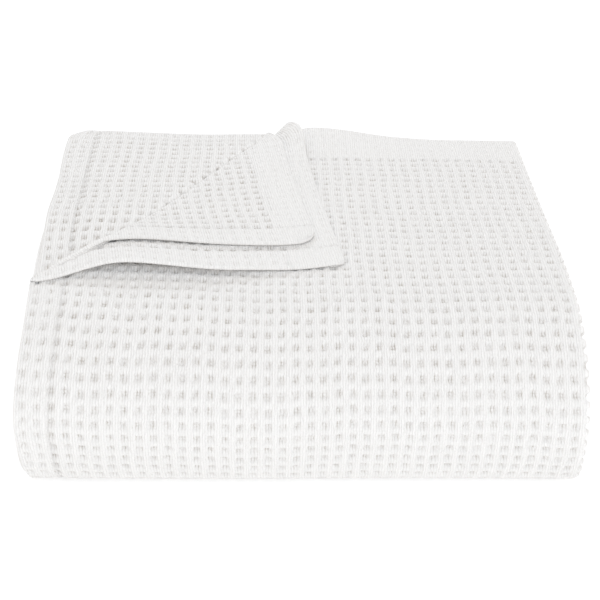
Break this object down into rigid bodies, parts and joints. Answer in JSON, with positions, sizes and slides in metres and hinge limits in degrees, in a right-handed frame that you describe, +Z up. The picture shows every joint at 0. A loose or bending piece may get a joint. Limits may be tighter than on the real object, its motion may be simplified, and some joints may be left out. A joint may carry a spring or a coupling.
{
  "type": "waffle weave cotton blanket",
  "caption": "Folded waffle weave cotton blanket: a soft stack of layers with a rounded front fold, side hems on the left and one corner of the top layers turned over.",
  "frame": {"origin": "middle of the stack's box, on the surface it rests on", "axes": "+X to the side fold, away from the side hems; +Y to the back, where the end hem lies; +Z up"},
  "size_m": [0.42, 0.3542, 0.1483],
  "materials": {
    "cotton": "matte white waffle weave"
  },
  "bodies": {
    "root": {"blanket": "cotton"}
  },
  "joints": []
}
